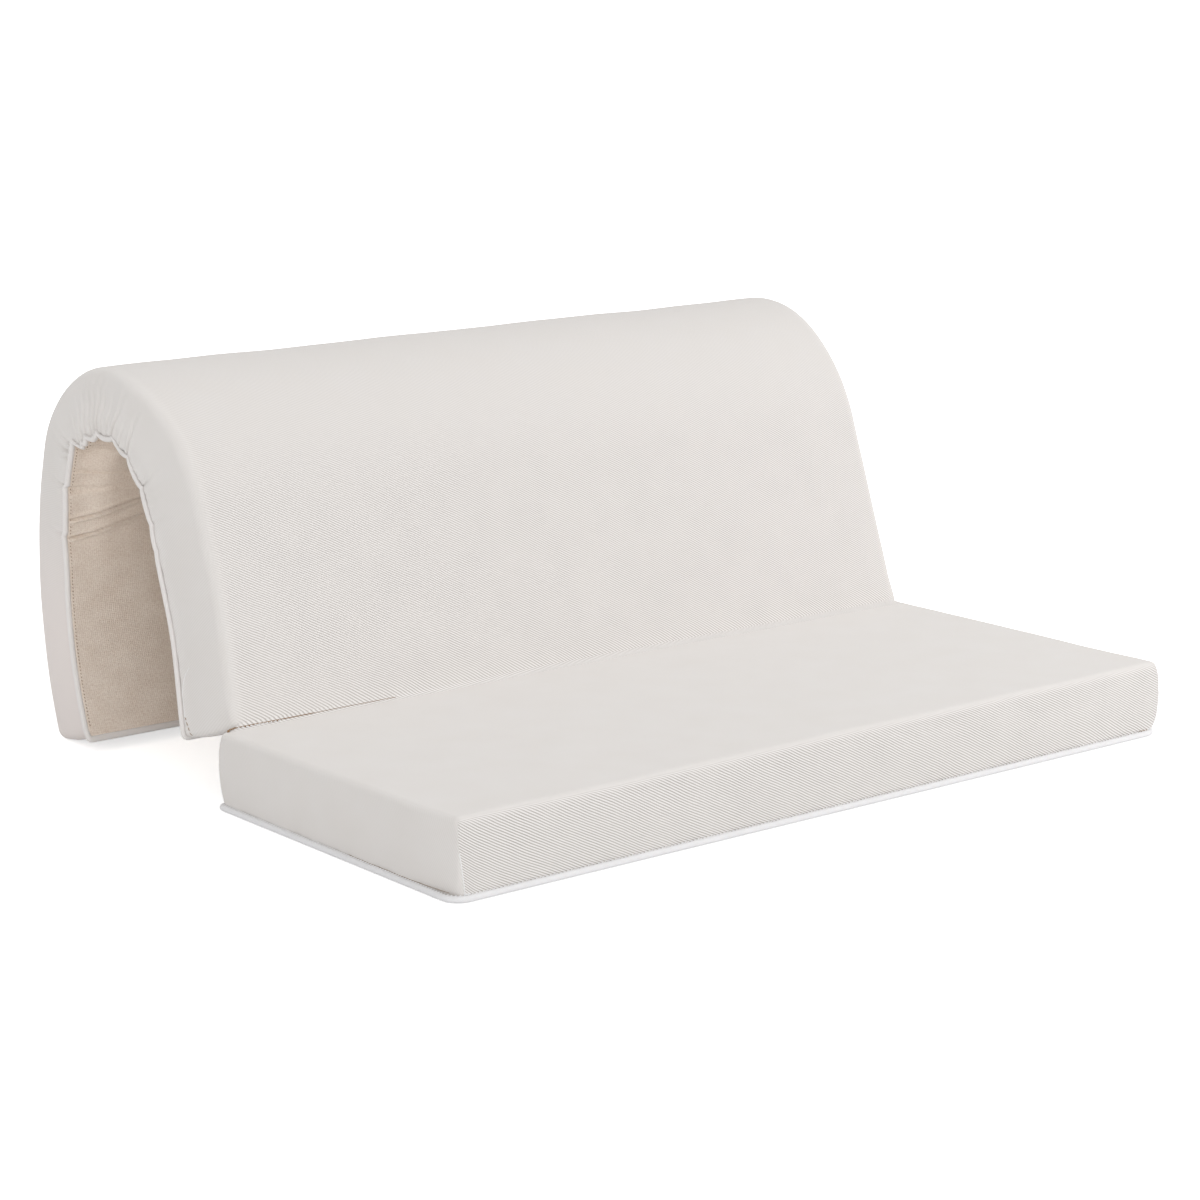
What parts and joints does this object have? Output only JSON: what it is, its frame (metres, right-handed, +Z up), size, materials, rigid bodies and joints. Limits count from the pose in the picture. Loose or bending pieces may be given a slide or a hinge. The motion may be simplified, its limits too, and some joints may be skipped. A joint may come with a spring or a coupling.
{
  "type": "sofa bed mattress",
  "caption": "Folding sofa bed mattress: a flat seat cushion and a long back cushion that rises, bends over the backrest and hangs to the floor.",
  "frame": {"origin": "middle of the seat cushion's underside", "axes": "+X along the width, +Y from the seat's front towards the back cushion, +Z up"},
  "size_m": [1.4, 1.1644, 0.6205],
  "materials": {
    "foam": "open-cell polyurethane foam, matte",
    "knit": "warm-white stretch knit with fine slanting ribs",
    "felt": "beige-brown needle-punched felt, fibrous",
    "piping": "satin-white woven piping",
    "tape": "brown woven tape"
  },
  "bodies": {
    "seat": {"seat_foam": "foam", "seat_knit_cover": "knit", "seat_felt": "felt", "seat_piping": "piping", "fold_seam_tape": "tape"},
    "front_panel": {"front_panel_foam": "foam", "front_panel_knit_cover": "knit", "front_panel_felt": "felt", "front_panel_piping": "piping"},
    "bend_1": {"bend_1_foam": "foam", "bend_1_knit_cover": "knit", "bend_1_felt": "felt", "bend_1_piping_left": "piping", "bend_1_piping_right": "piping"},
    "bend_2": {"bend_2_foam": "foam", "bend_2_knit_cover": "knit", "bend_2_felt": "felt", "bend_2_piping_left": "piping", "bend_2_piping_right": "piping"},
    "bend_3": {"bend_3_foam": "foam", "bend_3_knit_cover": "knit", "bend_3_felt": "felt", "bend_3_piping_left": "piping", "bend_3_piping_right": "piping"},
    "bend_4": {"bend_4_foam": "foam", "bend_4_knit_cover": "knit", "bend_4_felt": "felt", "bend_4_piping_left": "piping", "bend_4_piping_right": "piping"},
    "bend_5": {"bend_5_foam": "foam", "bend_5_knit_cover": "knit", "bend_5_felt": "felt", "bend_5_piping_left": "piping", "bend_5_piping_right": "piping"},
    "bend_6": {"bend_6_foam": "foam", "bend_6_knit_cover": "knit", "bend_6_felt": "felt", "bend_6_piping_left": "piping", "bend_6_piping_right": "piping"},
    "bend_7": {"bend_7_foam": "foam", "bend_7_knit_cover": "knit", "bend_7_felt": "felt", "bend_7_piping_left": "piping", "bend_7_piping_right": "piping"},
    "bend_8": {"bend_8_foam": "foam", "bend_8_knit_cover": "knit", "bend_8_felt": "felt", "bend_8_piping_left": "piping", "bend_8_piping_right": "piping"},
    "rear_panel": {"rear_panel_foam": "foam", "rear_panel_knit_cover": "knit", "rear_panel_felt": "felt", "rear_panel_piping": "piping"}
  },
  "joints": [
    {"name": "seat_fold", "type": "hinge", "parent": "seat", "child": "front_panel", "pos_m": [0, 0.29637, 0.1098], "axis": [1, 0, 0], "range_deg": [-70.8, 0]},
    {"name": "flex_1", "type": "hinge", "parent": "front_panel", "child": "bend_1", "pos_m": [0, 0.42165, 0.48329], "axis": [-1, 0, 0], "range_deg": [-20.12, 0]},
    {"name": "flex_2", "type": "hinge", "parent": "bend_1", "child": "bend_2", "pos_m": [0, 0.48918, 0.56572], "axis": [-1, 0, 0], "range_deg": [-20.12, 0]},
    {"name": "flex_3", "type": "hinge", "parent": "bend_2", "child": "bend_3", "pos_m": [0, 0.55755, 0.60712], "axis": [-1, 0, 0], "range_deg": [-20.12, 0]},
    {"name": "flex_4", "type": "hinge", "parent": "bend_3", "child": "bend_4", "pos_m": [0, 0.63005, 0.62047], "axis": [-1, 0, 0], "range_deg": [-20.12, 0]},
    {"name": "flex_5", "type": "hinge", "parent": "bend_4", "child": "bend_5", "pos_m": [0, 0.70272, 0.60806], "axis": [-1, 0, 0], "range_deg": [-20.12, 0]},
    {"name": "flex_6", "type": "hinge", "parent": "bend_5", "child": "bend_6", "pos_m": [0, 0.76669, 0.57142], "axis": [-1, 0, 0], "range_deg": [-20.12, 0]},
    {"name": "flex_7", "type": "hinge", "parent": "bend_6", "child": "bend_7", "pos_m": [0, 0.81414, 0.515], "axis": [-1, 0, 0], "range_deg": [-20.12, 0]},
    {"name": "flex_8", "type": "hinge", "parent": "bend_7", "child": "bend_8", "pos_m": [0, 0.85435, 0.38222], "axis": [-1, 0, 0], "range_deg": [-20.12, 0]},
    {"name": "flex_9", "type": "hinge", "parent": "bend_8", "child": "rear_panel", "pos_m": [0, 0.85355, 0.11948], "axis": [-1, 0, 0], "range_deg": [-20.12, 0]}
  ],
  "couplings": [
    {"joint": "flex_2", "follows": "flex_1", "ratio": 1},
    {"joint": "flex_3", "follows": "flex_1", "ratio": 1},
    {"joint": "flex_4", "follows": "flex_1", "ratio": 1},
    {"joint": "flex_5", "follows": "flex_1", "ratio": 1},
    {"joint": "flex_6", "follows": "flex_1", "ratio": 1},
    {"joint": "flex_7", "follows": "flex_1", "ratio": 1},
    {"joint": "flex_8", "follows": "flex_1", "ratio": 1},
    {"joint": "flex_9", "follows": "flex_1", "ratio": 1}
  ]
}
